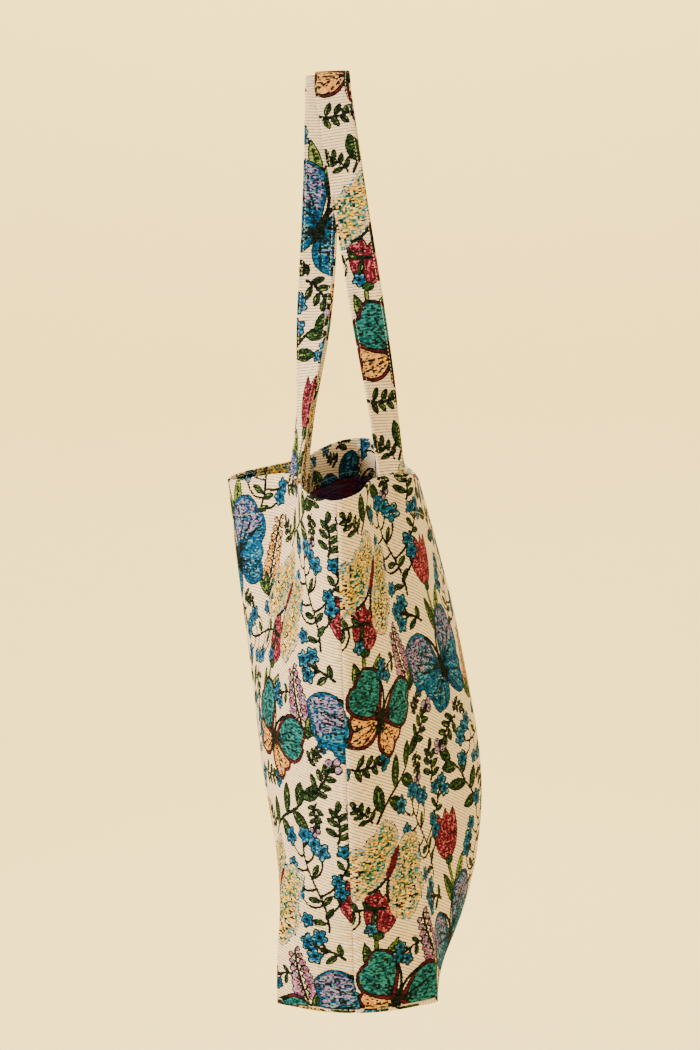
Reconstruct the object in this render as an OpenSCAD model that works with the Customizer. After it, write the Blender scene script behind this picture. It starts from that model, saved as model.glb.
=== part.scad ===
// Tote bag of woven cloth, hanging open from its two straps.
// Origin: the underside of the straps' loops, where a hand or a hook carries the bag.
// +Z is up. X runs along the panels, from the far side seam (-X) to the near one (+X).
// The front panel is on the -Y side of the seams, the back panel on the +Y side.

/* [Bag] */
// Width of each panel, from side seam to side seam
panel_w = 400; // [340:5:460]
// Height from the base up to the rim where the straps leave it
bag_h = 430; // [360:5:500]
// Width of the boxed base, measured along its bowed short edges
base_w = 144; // [110:2:164]
// How far the base's short edges bow outwards
base_bow = 26; // [4:1:32]
// Thickness of the cloth
cloth_t = 1.2; // [0.8:0.1:2]
// Depth of the hem that is folded to the inside at the mouth
hem_h = 36; // [32:1:60]
// Width of the seam allowances inside
seam_allow = 10; // [6:1:16]

/* [Straps] */
// Width of a strap
strap_w = 28; // [20:1:36]
// Thickness of a strap, folded and sewn flat
strap_t = 2.8; // [1.6:0.2:4]
// Distance between the two ends of a strap, centre to centre along the rim
strap_spacing = 200; // [170:5:230]
// Height of the grip above the rim
strap_drop = 316; // [240:2:400]
// Length of strap sewn to the inside of the hem
strap_tail = 28; // [16:1:31]
// Inside radius of the loops at the grip
grip_r = 12; // [8:1:24]
// How far the front strap lies in front of the seams at the grip
front_grip_y = 11; // [4:1:20]
// How far the back strap lies behind the seams at the grip
back_grip_y = -3; // [-6:1:20]
// Clearance between two layers that are sewn or lie on each other
lay_gap = 0.3; // [0.1:0.1:0.6]

/* [Hang] */
// How far the front panel bulges out at the mouth
front_rim_bulge = 104; // [70:1:110]
// How far the back panel bulges out at the mouth
back_rim_bulge = 59; // [50:1:110]
// How far the front panel's belly adds to its bulge
front_belly = 0; // [0:1:30]
// How far the back panel's belly adds to its bulge
back_belly = 41; // [0:1:50]
// How deep the fold is that the front strap's near end pulls into the rim
front_near_fold = 36; // [0:1:42]
// How deep the fold is that the front strap's far end pulls into the rim
front_far_fold = 26; // [0:1:42]
// How far the front strap's folds lie from its ends, towards the middle of the panel
front_fold_shift = 12; // [0:1:20]
// How deep the folds are that the back strap pulls into the rim
back_fold = 20; // [0:1:26]
// How far the back strap's folds lie from its ends, towards the seams
back_fold_shift = 24; // [0:1:30]
// How far the pulled folds run down from the rim
fold_run = 210; // [100:5:300]
// How far the rim sags at the near side seam
near_sag = 8; // [0:1:25]
// How far the rim sags at the far side seam
far_sag = 2; // [0:1:25]
// How far the front panel's rim sags between the two ends of its strap
front_mid_sag = 12; // [0:1:25]
// How far the back panel's rim sags between the two ends of its strap
back_mid_sag = 20; // [0:1:25]
// How far the rim sags at the far ends of the straps
far_end_sag = 9; // [0:1:15]
// How far the front strap's legs bow inwards
front_leg_bow = 5; // [0:1:10]
// Height up to which the base's corners crease the panels
crease_h = 200; // [80:5:300]

/* [Hidden] */

FRONT = 0;
BACK = 1;
rim_bulge = [front_rim_bulge, back_rim_bulge];
belly = [front_belly, back_belly];
near_fold = [front_near_fold, back_fold];
far_fold = [front_far_fold, back_fold];
mid_sag = [front_mid_sag, back_mid_sag];
leg_bow = [front_leg_bow, 0];
grip_y = [front_grip_y, back_grip_y];
base_z = -strap_drop - bag_h;

// Power of the height's share that puts the fullest part of the belly low down
belly_power = 0.7;

function mix(a, b, k) = a + (b - a) * k;
function smooth(x) = let (t = min(1, max(0, x))) t * t * (3 - 2 * t);
function unit(v) = v / norm(v);
function steps(a, b, n) = [for (i = [0:n - 1]) mix(a, b, i / n)];
function sorted(v) = len(v) < 2 ? v : let (
    pivot = v[floor(len(v) / 2)],
    below = [for (x = v) if (x < pivot) x],
    above = [for (x = v) if (x > pivot) x]
) concat(sorted(below), [pivot], sorted(above));
function sums(v, i = 0, total = 0) =
    i > len(v) ? [] : concat([total], sums(v, i + 1, total + (i < len(v) ? v[i] : 0)));

// Columns of the cloth: shares of the panel's width from the near seam to the far one.
// The base's corners and the straps' edges each fall on a column.
corner_u = base_w / 2 / panel_w;
strap_u = 0.5 - strap_spacing / 2 / panel_w;
strap_half_u = strap_w / 2 / panel_w;
corner_n = 6;
front_n = 10;
strap_n = 4;
strap_us = [for (j = [0:strap_n]) strap_u + strap_half_u * (2 * j / strap_n - 1)];
plain_us = concat(steps(0, corner_u, corner_n), steps(corner_u, 0.5, front_n));
half_us = sorted(concat([for (u = plain_us) if (clear_of_strap(u)) u], strap_us));
columns = concat(half_us, [0.5], [for (i = [len(half_us) - 1:-1:0]) 1 - half_us[i]]);
last = len(columns) - 1;
corner = search_column(corner_u);

// Plain columns closer to a strap's edge than this would make slivers. The corner's stays.
function clear_of_strap(u) = abs(u - corner_u) < 1e-9
    || u < strap_us[0] - strap_half_u / 3 || u > strap_us[strap_n] + strap_half_u / 3;
function search_column(u) = [for (i = [0:last]) if (abs(columns[i] - u) < 1e-9) i][0];

// Rows of the cloth: shares of the height from the base to the rim, with rows at the hem's edge.
wall_n = 15;
hem_edge = 1 - (hem_h + cloth_t) / bag_h;
hem_rows = [hem_h, strap_tail, strap_tail / 2, 0];
rows = concat(steps(0, hem_edge, wall_n), [hem_edge], [for (d = hem_rows) 1 - d / bag_h]);
top = len(rows) - 1;
hem_row = top - len(hem_rows) + 1;
tail_row = hem_row + 1;

// A hump of height 1 at share b of the half panel, falling to 0 at the seam and at share c
function hump(u, b, c, power = 2) = let (v = min(u, 1 - u, c))
    pow(sin(v < b ? 90 * v / b : 90 + 90 * (v - b) / (c - b)), power);
fold_u = [strap_u + front_fold_shift / panel_w, strap_u - back_fold_shift / panel_w];
// The back panel's near fold is narrow. The other folds fade out at the middle of their panel.
function fold_end_u(k, u) = k == BACK && u < 0.5 ? strap_u + back_fold_shift / panel_w : 0.5;

// How far the cloth stands out from the plane of the seams
half_base = base_w / 2;
bow_r = half_base * half_base / 2 / base_bow;
corner_angle = half_base / bow_r * 180 / PI;
corner_out = bow_r * sin(corner_angle);
function box_out(u) = bow_r * sin(min(corner_angle, min(u, 1 - u) * panel_w / bow_r * 180 / PI));
function round_out(b, u) = b * (1 - pow(abs(1 - 2 * u), panel_w / 2 / b));
function belly_out(k, u, h) = let (
    level = sin(180 * pow(h, belly_power)),
    place = max(0, min(u, 1 - u) - corner_u) / (0.5 - corner_u)
) belly[k] * level * pow(sin(90 * place), 2);
function fold_in(k, u, h) =
    (u < 0.5 ? near_fold[k] : far_fold[k])
    * hump(u, fold_u[k], fold_end_u(k, u)) * smooth(1 - (1 - h) * bag_h / fold_run);
function out(k, u, h) = let (b = mix(corner_out, rim_bulge[k], h))
    mix(box_out(u), round_out(b, u), smooth(h * bag_h / crease_h))
    + belly_out(k, u, h) - fold_in(k, u, h);

// The rim sags between the ends of the straps. It rises straight from the near seam at the back.
function rim_z(k, u) = let (
    sag = u < strap_u ? near_sag : u > 1 - strap_u ? far_sag : mid_sag[k],
    end_sag = u > 0.5 ? far_end_sag : 0,
    power = k == BACK && u < strap_u ? 1 : 2
) -strap_drop - mix(sag, end_sag, hump(u, strap_u, 0.5, power));
function cloth_z(k, u, h) = mix(base_z, rim_z(k, u), h);

// The cloth doesn't stretch: each step along a row keeps its length, so the way that it
// stands out leaves the way that it runs along X. Both panels share the seams' places.
outs = [for (k = [FRONT, BACK]) [for (h = rows) [for (u = columns) out(k, u, h)]]];
function run_along(y) = sums([for (i = [1:last])
    sqrt(max(0, pow(panel_w * (columns[i] - columns[i - 1]), 2) - pow(y[i] - y[i - 1], 2)))]);
runs = [for (k = [FRONT, BACK]) [for (y = outs[k]) run_along(y)]];
half_len = [for (j = [0:top]) (runs[FRONT][j][last] + runs[BACK][j][last]) / 4];

// Points are [x, distance out from the seams, z] until they are placed on their side.
function cloth(k, j, i) = [
    half_len[j] * (1 - 2 * runs[k][j][i] / runs[k][j][last]),
    outs[k][j][i],
    cloth_z(k, columns[i], rows[j])
];
function flat_unit(v) = unit([v.x, v.y, 0]);
function inward(t) = [-t.y, t.x, 0];
function mitre(k, j, i) = let (
    a = inward(flat_unit(cloth(k, j, i) - cloth(k, j, i - 1))),
    b = inward(flat_unit(cloth(k, j, i + 1) - cloth(k, j, i)))
) (a + b) / (1 + a * b);
function inset(k, j, i, d) = cloth(k, j, i) + d * mitre(k, j, i);
function placed(k, points) = [for (p = points) [p.x, (k == FRONT ? -1 : 1) * p.y, p.z]];

// The inside of the cloth is one layer in, or two at the hem.
function layers(j) = cloth_t * (j < hem_row ? 1 : 2);
function inner(k, j, i) =
    let (
        lift = [0, 0, j == 0 ? cloth_t : 0],
        p = cloth(k, j, i)
    )
    i == 0 ? [p.x - layers(j), cloth_t, p.z] + lift
    : i == last ? [p.x + layers(j), cloth_t, p.z] + lift
    : inset(k, j, i, layers(j)) + lift;

// The seam allowance stands inwards from the seam, and ends inside the hem.
function allowance(j) = j < hem_row ? seam_allow : 3 * cloth_t;
function allowance_edge(k, j, i, y) = let (p = cloth(k, j, i))
    [p.x - sign(p.x) * allowance(j), y, j == 0 ? base_z + seam_allow : p.z];

// Vertices of one panel, block by block
row_len = last + 1;
wall_len = row_len * (top + 1);
base_is = [corner + 1:last - corner - 1];
base_row_len = last - 2 * corner - 1;
base_len = corner * base_row_len;
base_shrink = 1 - seam_allow / half_len[0];
function row_stretch(k, r) = cloth(k, 0, corner - r).x / cloth(k, 0, corner).x;
function base_point(k, r, i, y_edge, z) = [
    cloth(k, 0, i).x * row_stretch(k, r),
    r == corner ? y_edge : cloth(k, 0, corner - r).y,
    z
];
function panel_points(k) = concat(
    [for (j = [0:top], i = [0:last]) cloth(k, j, i)],
    [for (j = [0:top], i = [0:last]) inner(k, j, i)],
    [for (r = [1:corner], i = base_is) base_point(k, r, i, 0, base_z)],
    [for (r = [1:corner], i = base_is) base_point(k, r, i, cloth_t, base_z + cloth_t)],
    [for (i = [0, last], y = [0, cloth_t], j = [0:top]) allowance_edge(k, j, i, y)],
    [for (y = [0, cloth_t], i = base_is)
        [cloth(k, 0, i).x * row_stretch(k, corner) * base_shrink, y, base_z + seam_allow]]
);

// Indices of those vertices. The base shares its outer edges with the walls' lowest row.
function wall_v(side, j, i) = side * wall_len + j * row_len + i;
function base_v(side, r, i) =
    r == 0 ? wall_v(side, 0, i)
    : i == corner ? wall_v(side, 0, corner - r)
    : i == last - corner ? wall_v(side, 0, last - corner + r)
    : 2 * wall_len + side * base_len + (r - 1) * base_row_len + i - corner - 1;
edge_start = 2 * wall_len + 2 * base_len;
function edge_v(far, side, j) = edge_start + (2 * far + side) * (top + 1) + j;
function base_edge_v(side, i) =
    i == corner ? edge_v(0, side, 0)
    : i == last - corner ? edge_v(1, side, 0)
    : edge_start + 4 * (top + 1) + side * base_row_len + i - corner - 1;

OUTSIDE = 0;
INSIDE = 1;
wall_js = [0:top - 1];
wall_is = [0:last - 1];
base_js = [0:corner - 1];
base_quad_is = [corner:last - corner - 1];
function back_to_front(faces) = [for (f = faces) [for (n = [len(f) - 1:-1:0]) f[n]]];
function triangles(quads) = [for (q = quads, f = [[q[0], q[1], q[2]], [q[0], q[2], q[3]]]) f];

function wall_quads(s) = [for (j = wall_js, i = wall_is)
    [wall_v(s, j, i), wall_v(s, j, i + 1), wall_v(s, j + 1, i + 1), wall_v(s, j + 1, i)]];
function base_quads(s) = [for (r = base_js, i = base_quad_is)
    [base_v(s, r, i), base_v(s, r + 1, i), base_v(s, r + 1, i + 1), base_v(s, r, i + 1)]];
rim_quads = [for (i = wall_is) [wall_v(OUTSIDE, top, i), wall_v(OUTSIDE, top, i + 1),
    wall_v(INSIDE, top, i + 1), wall_v(INSIDE, top, i)]];
// Quads of the allowance at one seam: its face on the seam, its edge, its inner face and its top
function seam_quads(far, i) = concat(
    [for (j = wall_js) [wall_v(OUTSIDE, j, i), wall_v(OUTSIDE, j + 1, i),
        edge_v(far, OUTSIDE, j + 1), edge_v(far, OUTSIDE, j)]],
    [for (j = wall_js) [edge_v(far, OUTSIDE, j), edge_v(far, OUTSIDE, j + 1),
        edge_v(far, INSIDE, j + 1), edge_v(far, INSIDE, j)]],
    [for (j = wall_js) [edge_v(far, INSIDE, j), edge_v(far, INSIDE, j + 1),
        wall_v(INSIDE, j + 1, i), wall_v(INSIDE, j, i)]],
    [[wall_v(OUTSIDE, top, i), wall_v(INSIDE, top, i),
        edge_v(far, INSIDE, top), edge_v(far, OUTSIDE, top)]]
);
base_seam_quads = concat(
    [for (i = base_quad_is) [base_v(OUTSIDE, corner, i), base_edge_v(OUTSIDE, i),
        base_edge_v(OUTSIDE, i + 1), base_v(OUTSIDE, corner, i + 1)]],
    [for (i = base_quad_is) [base_edge_v(OUTSIDE, i), base_edge_v(INSIDE, i),
        base_edge_v(INSIDE, i + 1), base_edge_v(OUTSIDE, i + 1)]],
    [for (i = base_quad_is) [base_edge_v(INSIDE, i), base_v(INSIDE, corner, i),
        base_v(INSIDE, corner, i + 1), base_edge_v(INSIDE, i + 1)]]
);
panel_faces = triangles(concat(
    wall_quads(OUTSIDE), back_to_front(wall_quads(INSIDE)),
    base_quads(OUTSIDE), back_to_front(base_quads(INSIDE)),
    rim_quads, seam_quads(0, 0), back_to_front(seam_quads(1, last)), base_seam_quads
));

// One panel of cloth with its hem folded in, its half of the base and its seam allowances
module panel(k) {
    polyhedron(
        points = placed(k, panel_points(k)),
        faces = k == FRONT ? panel_faces : back_to_front(panel_faces)
    );
}

// Straps: rings of points across the strap, its outer face first and then its inner face.
leg_n = 14;
arch_n = 8;
near_strap = search_column(strap_us[0]);
function strap_column(far, q) = far ? last - near_strap - q : near_strap + q;
strap_inset = 2 * cloth_t + lay_gap;

// Rings of a sewn end lie against the inside of the hem.
function tail_ring(k, far, j) = concat(
    [for (q = [0:strap_n]) inset(k, j, strap_column(far, q), strap_inset)],
    [for (q = [strap_n:-1:0]) inset(k, j, strap_column(far, q), strap_inset + strap_t)]
);
function middle(ring) = (ring[strap_n / 2] + ring[strap_n + 1 + strap_n / 2]) / 2;

// A free ring is flat, and square to the way that the strap runs.
function free_ring(centre, across, along) = let (
    w = unit(across - (across * along) * along),
    n = cross(w, along)
) concat(
    [for (q = [0:strap_n]) centre + w * strap_w * (q / strap_n - 0.5) + n * strap_t / 2],
    [for (q = [strap_n:-1:0]) centre + w * strap_w * (q / strap_n - 0.5) - n * strap_t / 2]
);

// The loops lie side by side over the grip, and the back strap passes over the front one.
arch_z = -grip_r;
function arch_r(k) = grip_r + strap_t / 2 + (k == BACK ? strap_t + lay_gap : 0);
function lean(k, root) = atan2(abs(root.x) - arch_r(k), arch_z - root.z);
function arch_point(k, a) = [arch_r(k) * sin(a), grip_y[k], arch_z + arch_r(k) * cos(a)];
function arch_ring(k, a) = free_ring(arch_point(k, a), [0, 1, 0], [-cos(a), 0, sin(a)]);

// Shares of a leg's length over which it flattens, starts to turn and has turned
flat_by = 0.25;
turn_from = 0.06;
turn_by = 0.6;
function leg_ring(k, far, share) = let (
    root_ring = tail_ring(k, far, top),
    root = middle(root_ring),
    tip = arch_point(k, (far ? -1 : 1) * (90 - lean(k, root))),
    up = unit(tip - root),
    along = far ? -up : up,
    root_across = root_ring[strap_n] - root_ring[0],
    turn = smooth((share - turn_from) / (turn_by - turn_from)),
    across = mix(unit(root_across), [0, 1, 0], turn),
    rise = (tip - root) * share - [0, leg_bow[k] * sin(180 * share), 0],
    flat = free_ring(root + rise, across, along),
    flatten = smooth(share / flat_by)
) [for (n = [0:len(flat) - 1]) mix(root_ring[n] + rise, flat[n], flatten)];

function strap_rings(k) = let (
    near_end = 90 - lean(k, middle(tail_ring(k, false, top))),
    far_end = 90 - lean(k, middle(tail_ring(k, true, top)))
) concat(
    [for (j = [tail_row:top]) tail_ring(k, false, j)],
    [for (n = [1:leg_n - 1]) leg_ring(k, false, n / leg_n)],
    [for (n = [0:arch_n]) arch_ring(k, mix(near_end, -far_end, n / arch_n))],
    [for (n = [leg_n - 1:-1:1]) leg_ring(k, true, n / leg_n)],
    [for (j = [top:-1:tail_row]) tail_ring(k, true, j)]
);

ring_len = 2 * (strap_n + 1);
function ring_faces(count) = concat(
    triangles([for (r = [0:count - 2], n = [0:ring_len - 1]) let (m = (n + 1) % ring_len)
        [r * ring_len + n, r * ring_len + m, (r + 1) * ring_len + m, (r + 1) * ring_len + n]]),
    triangles([for (n = [0:strap_n - 1]) [ring_len - 1 - n, ring_len - 2 - n, n + 1, n]]),
    triangles([for (n = [0:strap_n - 1]) let (first = (count - 1) * ring_len)
        [first + n, first + n + 1, first + ring_len - 2 - n, first + ring_len - 1 - n]])
);

// One strap, sewn inside the hem at both ends and looped over the grip
module strap(k) {
    rings = strap_rings(k);
    faces = ring_faces(len(rings));
    polyhedron(
        points = placed(k, [for (ring = rings, p = ring) p]),
        faces = k == FRONT ? faces : back_to_front(faces)
    );
}

module front_panel() { color("wheat") panel(FRONT); }
module back_panel() { color("wheat") panel(BACK); }
module front_strap() { color("tan") strap(FRONT); }
module back_strap() { color("tan") strap(BACK); }

front_panel();
back_panel();
front_strap();
back_strap();
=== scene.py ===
"""Looks of a tapestry tote bag that hangs open from its two straps."""

import math

import bpy
import numpy as np
from mathutils import Matrix, Vector


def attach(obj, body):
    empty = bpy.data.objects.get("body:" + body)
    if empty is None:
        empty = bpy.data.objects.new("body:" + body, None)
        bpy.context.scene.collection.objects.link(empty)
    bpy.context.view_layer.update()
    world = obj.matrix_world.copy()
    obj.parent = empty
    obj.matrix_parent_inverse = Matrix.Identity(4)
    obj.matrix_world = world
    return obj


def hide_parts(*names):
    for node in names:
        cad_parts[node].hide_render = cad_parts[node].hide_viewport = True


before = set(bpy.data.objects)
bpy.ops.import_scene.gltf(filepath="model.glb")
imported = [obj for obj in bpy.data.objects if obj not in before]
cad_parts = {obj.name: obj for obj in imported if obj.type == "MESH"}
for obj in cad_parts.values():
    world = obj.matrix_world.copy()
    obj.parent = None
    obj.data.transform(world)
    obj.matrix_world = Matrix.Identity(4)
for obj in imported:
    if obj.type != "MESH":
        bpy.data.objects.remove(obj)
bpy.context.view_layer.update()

# Sizes in mm, as the CAD solids have them. The scene itself is in metres.
MM = 0.001
FRONT, BACK = 0, 1
SIDE_NAMES = ("front", "back")
PANEL_W = 400.0
BAG_H = 430.0
BASE_W = 144.0
BASE_BOW = 26.0
CLOTH_T = 1.2
HEM_H = 36.0
SEAM_ALLOW = 10.0
STRAP_W = 28.0
STRAP_T = 2.8
STRAP_SPACING = 200.0
STRAP_DROP = 316.0
STRAP_TAIL = 28.0
GRIP_R = 12.0
GRIP_Y = (11.0, -3.0)
LAY_GAP = 0.3

# How the bag hangs, in mm: the front panel's value and then the back panel's
RIM_BULGE = (104.0, 59.0)
BELLY = (0.0, 41.0)
NEAR_FOLD = (36.0, 20.0)
FAR_FOLD = (26.0, 20.0)
MID_SAG = (12.0, 20.0)
LEG_BOW = (5.0, 0.0)
# The rest of how it hangs, in mm but for the belly's power
FRONT_FOLD_SHIFT = 12.0
BACK_FOLD_SHIFT = 24.0
FOLD_RUN = 210.0
NEAR_SAG = 8.0
FAR_SAG = 2.0
FAR_END_SAG = 9.0
CREASE_H = 200.0
BELLY_POWER = 0.7

BASE_Z = -STRAP_DROP - BAG_H
CORNER_U = BASE_W / 2 / PANEL_W
STRAP_U = 0.5 - STRAP_SPACING / 2 / PANEL_W
FOLD_U = (STRAP_U + FRONT_FOLD_SHIFT / PANEL_W, STRAP_U - BACK_FOLD_SHIFT / PANEL_W)
NARROW_FOLD_END_U = STRAP_U + BACK_FOLD_SHIFT / PANEL_W
BOW_R = (BASE_W / 2) ** 2 / 2 / BASE_BOW
CORNER_ANGLE = BASE_W / 2 / BOW_R
CORNER_OUT = BOW_R * math.sin(CORNER_ANGLE)

# The mesh's columns and rows. The inside, which shows no pattern, has one column in COARSE.
SIDE_COLUMNS = 48
MIDDLE_COLUMNS = 160
LAST = 2 * SIDE_COLUMNS + MIDDLE_COLUMNS
COARSE = 8
WALL_ROWS = 246
HEM_ROWS = 22
ROLL_STEPS = 5
END_SEAM_ROW = 3
TINY = 1e-6

# Sewn details, in mm
BASE_FILLET = 3.8
CORNER_RUN = 25.0
SEAM_GROOVE = 1.0
SEAM_GROOVE_W = 1.7
END_GROOVE_RUN = 4.0
SEAM_SPLIT = 0.03
HEM_ALLOW = 3 * CLOTH_T
# The share of its width by which an allowance stands up from the base
ALLOW_STANDS = 0.85
# The share by which the lining's side edges lie further in than the wall's
LINING_IN = 0.01

# Soft forms of the hanging cloth: heights, waves and runs, in mm
SLOW_BUCKLE = 1.3
SLOW_WAVES = (29.0, 83.0, 61.0)
QUICK_BUCKLE = 0.45
QUICK_WAVES = (13.0, 37.0, 43.0, 71.0)
BUCKLE_SEAM_RUN = 50.0
BUCKLE_BASE_RUN = 60.0
PULL = 0.9
PULL_W = 16.0
PULL_FROM = 10.0
PULL_RUN = 70.0
SEAM_PUCKER = 0.35
PUCKER_WAVES = (1.55, 23.0)
PUCKER_FROM = 3.0
PUCKER_RUN = 8.0
# Their angles in radians, and the share by which the pulls widen downwards
BACK_PHASE = 2.1
PULL_TURN = 5.0
PULL_WIDENS = 0.25


def mix(a, b, k):
    return a + (b - a) * k


def smooth(x):
    t = np.clip(x, 0, 1)
    return t * t * (3 - 2 * t)


def unit(v):
    return v / np.linalg.norm(v, axis=-1, keepdims=True)


# How the cloth hangs. k is the side, u the share of a panel's width from the near seam to the
# far one, and h the share of its height from the base to the rim.
def hump(u, peak, end, power=2):
    v = np.minimum(np.minimum(u, 1 - u), end)
    turn = np.where(v < peak, v / peak, 1 + (v - peak) / (end - peak))
    return np.maximum(0, np.sin(np.pi / 2 * turn)) ** power


def box_out(u):
    return BOW_R * np.sin(np.minimum(CORNER_ANGLE, np.minimum(u, 1 - u) * PANEL_W / BOW_R))


def round_out(bulge, u):
    return bulge * (1 - np.abs(1 - 2 * u) ** (PANEL_W / 2 / bulge))


def belly_out(k, u, h):
    place = np.maximum(0, np.minimum(u, 1 - u) - CORNER_U) / (0.5 - CORNER_U)
    return BELLY[k] * np.sin(np.pi * h**BELLY_POWER) * np.sin(np.pi / 2 * place) ** 2


def fold_in(k, u, h):
    depth = np.where(u < 0.5, NEAR_FOLD[k], FAR_FOLD[k])
    end = np.where((u < 0.5) & (k == BACK), NARROW_FOLD_END_U, 0.5)
    return depth * hump(u, FOLD_U[k], end) * smooth(1 - (1 - h) * BAG_H / FOLD_RUN)


def strap_pulls(s, below):
    """Fine pleats that run down from the straps' ends, by mm across the panel and below the rim."""
    width = PULL_W + PULL_WIDENS * below
    pulls = 0
    for end in (STRAP_U * PANEL_W, (1 - STRAP_U) * PANEL_W):
        away = (s - end) / width
        reach = np.exp(-(away**2) - below / PULL_RUN) * smooth(below / PULL_FROM)
        pulls = pulls + PULL * np.sin(away * PULL_TURN) * reach
    return pulls


def buckles(k, u, h):
    """Small soft buckles of the hanging cloth, which die out at the seams and at the base."""
    s = u * PANEL_W
    z = h * BAG_H
    seam = np.minimum(s, PANEL_W - s)
    phase = BACK_PHASE * k
    a, b, c = SLOW_WAVES
    slow = SLOW_BUCKLE * np.sin(s / a + z / b + phase) * np.sin(z / c + phase)
    a, b, c, d = QUICK_WAVES
    quick = QUICK_BUCKLE * np.sin(s / a - z / b + phase) * np.sin(z / c + s / d)
    soft = smooth(seam / BUCKLE_SEAM_RUN) * smooth(z / BUCKLE_BASE_RUN) * (slow + quick)
    short, long = PUCKER_WAVES
    wave = np.sin(z / short + np.sin(z / long))
    pucker = SEAM_PUCKER * wave * np.exp(-seam / PUCKER_RUN) * smooth(seam / PUCKER_FROM)
    return soft + strap_pulls(s, (1 - h) * BAG_H) + pucker


def cloth_out(k, u, h):
    bulge = mix(CORNER_OUT, RIM_BULGE[k], h)
    form = mix(box_out(u), round_out(bulge, u), smooth(h * BAG_H / CREASE_H))
    return form + belly_out(k, u, h) - fold_in(k, u, h) + buckles(k, u, h)


def rim_z(k, u):
    sag = np.where(u < STRAP_U, NEAR_SAG, np.where(u > 1 - STRAP_U, FAR_SAG, MID_SAG[k]))
    end_sag = np.where(u > 0.5, FAR_END_SAG, 0)
    power = np.where((u < STRAP_U) & (k == BACK), 1, 2)
    return -STRAP_DROP - mix(sag, end_sag, hump(u, STRAP_U, 0.5, power))


columns = np.concatenate([
    np.linspace(0, CORNER_U, SIDE_COLUMNS, endpoint=False),
    np.linspace(CORNER_U, 1 - CORNER_U, MIDDLE_COLUMNS, endpoint=False),
    np.linspace(1 - CORNER_U, 1, SIDE_COLUMNS + 1),
])
rows = np.concatenate([
    np.linspace(0, 1 - HEM_H / BAG_H, WALL_ROWS, endpoint=False),
    np.linspace(1 - HEM_H / BAG_H, 1 - CLOTH_T / BAG_H, HEM_ROWS + 1),
])


def walls():
    """Both walls' points as [x, distance out from the seams, z] by side, row and column.
    The cloth doesn't stretch, and both panels share the places of the seams."""
    u, h = np.meshgrid(columns, rows)
    outs = [cloth_out(k, u, h) for k in (FRONT, BACK)]
    runs = []
    for out in outs:
        step = np.sqrt(np.maximum(0, (PANEL_W * np.diff(u)) ** 2 - np.diff(out) ** 2))
        runs.append(np.pad(np.cumsum(step, axis=1), ((0, 0), (1, 0))))
    half = (runs[FRONT][:, -1:] + runs[BACK][:, -1:]) / 4
    both = []
    for k in (FRONT, BACK):
        x = half * (1 - 2 * runs[k] / runs[k][:, -1:])
        both.append(np.stack([x, outs[k], mix(BASE_Z, rim_z(k, u), h)], -1))
    return both


def inward(wall):
    """Level unit vectors from a wall's points to the inside of the bag."""
    along = unit(np.gradient(wall, axis=1)[..., :2])
    return np.stack([-along[..., 1], along[..., 0], np.zeros(along.shape[:-1])], -1)


# Mesh building
class Builder:
    """Collects points and faces of one mesh. Each point has its place on the flat cloth, in mm."""

    def __init__(self):
        self.points = []
        self.places = []
        self.faces = []
        self.looks = []
        self.count = 0

    def add(self, points, places):
        ids = np.arange(self.count, self.count + points[..., 0].size).reshape(points.shape[:-1])
        self.points.append(points.reshape(-1, 3))
        self.places.append(places.reshape(-1, 2))
        self.count += ids.size
        return ids

    def face(self, corners, look):
        self.faces.append([int(c) for c in corners])
        self.looks.append(look)

    def grid(self, ids, look, flip=False):
        quads = np.stack([ids[:-1, :-1], ids[:-1, 1:], ids[1:, 1:], ids[1:, :-1]], -1)
        quads = quads.reshape(-1, 4)
        quads = quads[:, ::-1] if flip else quads
        self.faces.extend(quads.tolist())
        self.looks.extend([look] * len(quads))

    def tube(self, ids, look, flip=False):
        """A grid whose last column joins its first."""
        self.grid(np.concatenate([ids, ids[:, :1]], axis=1), look, flip)

    def narrow(self, fine, coarse, look, flip=False):
        """Triangles between a fine row of points and the coarse row after it."""
        half = COARSE // 2
        made = []
        for n in range(len(coarse) - 1):
            for i in range(COARSE):
                at = n * COARSE + i
                made.append((fine[at], fine[at + 1], coarse[n + (i >= half)]))
            made.append((coarse[n], fine[n * COARSE + half], coarse[n + 1]))
        for tri in made:
            self.face(tri[::-1] if flip else tri, look)

    def mesh(self, name, mirrored=False):
        """The mesh in metres. Both sides are built towards +Y, so the front's is mirrored."""
        points = np.concatenate(self.points) * MM
        faces = self.faces
        if mirrored:
            points[:, 1] *= -1
            faces = [f[::-1] for f in faces]
        mesh = bpy.data.meshes.new(name)
        mesh.from_pydata(points.tolist(), [], faces)
        mesh.polygons.foreach_set("material_index", self.looks)
        mesh.shade_smooth()
        return mesh


def flat_places(across, levels):
    """A grid's places on the flat cloth."""
    return np.stack(np.meshgrid(across, levels), -1)


def run_length(path):
    """The length along a path up to each of its points."""
    return np.pad(np.cumsum(np.linalg.norm(np.diff(path, axis=0), axis=1)), (1, 0))


def place_object(name, mesh):
    obj = bpy.data.objects.new(name, mesh)
    bpy.context.scene.collection.objects.link(obj)
    return obj


# A panel's material slots
RIGHT_SIDE, REVERSE = 0, 1


def fillet(depth, radius):
    """How far in and how far up a point moves that lies depth past a square edge, when the edge
    is rounded: a negative depth is up the wall and a positive one is along the base."""
    turn = np.clip(1 + depth / radius, 0, 2) * np.pi / 4
    there = np.abs(depth) < radius
    level = np.where(there, radius * (1 - np.cos(turn)) - np.maximum(depth, 0), 0)
    up = np.where(there, radius * (1 - np.sin(turn)) - np.maximum(-depth, 0), 0)
    return level, up


def groove(distance):
    """How deep the cloth is drawn in, by distance from a seam."""
    return SEAM_GROOVE * np.exp(-((distance / SEAM_GROOVE_W) ** 2))


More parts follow.
